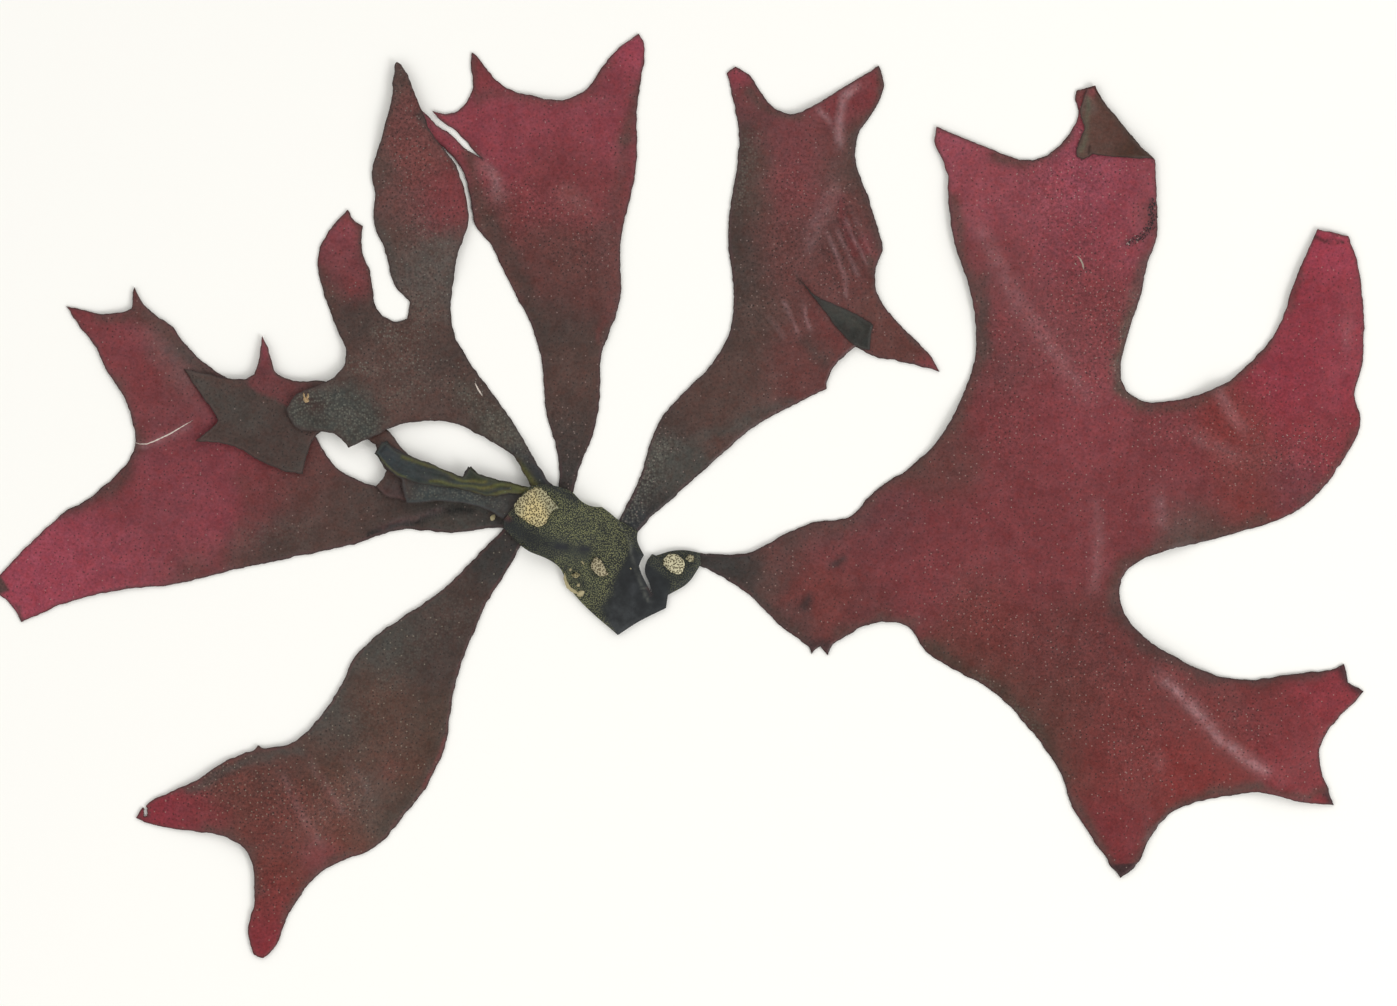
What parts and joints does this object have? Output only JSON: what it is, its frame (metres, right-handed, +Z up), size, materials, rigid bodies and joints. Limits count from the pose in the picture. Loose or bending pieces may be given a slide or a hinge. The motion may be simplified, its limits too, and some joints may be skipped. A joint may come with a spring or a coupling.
{
  "type": "pressed red seaweed",
  "caption": "Leafy red seaweed pressed and dried flat: broad forked crimson fronds spread from a dark holdfast blade with pale moss-animal crusts.",
  "frame": {"origin": "on the surface the plant lies on, under the middle of its outline", "axes": "+X towards the tips of the large right frond, +Y towards the tips of the upper fronds, +Z up from the surface"},
  "size_m": [0.2744, 0.1848, 0.0044],
  "materials": {
    "holdfast_blade": "semi-gloss, finely granular",
    "left_frond": "semi-gloss, pimpled",
    "horned_frond": "semi-gloss, pimpled",
    "green_frond": "semi-gloss",
    "upper_left_frond": "semi-gloss, granular",
    "upper_middle_frond": "semi-gloss, pimpled",
    "upper_right_frond": "semi-gloss, pimpled",
    "right_frond": "semi-gloss, pimpled",
    "lower_left_frond": "semi-gloss, pimpled",
    "moss_animal_crust": "matte, finely pored"
  },
  "bodies": {
    "root": {"base_blade": "holdfast_blade", "frond_left": "left_frond", "frond_horned": "horned_frond", "frond_green": "green_frond", "frond_upper_left": "upper_left_frond", "frond_upper_middle": "upper_middle_frond", "frond_upper_right": "upper_right_frond", "frond_right": "right_frond", "frond_lower_left": "lower_left_frond", "crust_holdfast": "moss_animal_crust", "crust_left_margin": "moss_animal_crust", "crust_middle": "moss_animal_crust", "crust_neck": "moss_animal_crust", "crust_right_stub": "moss_animal_crust"}
  },
  "joints": []
}
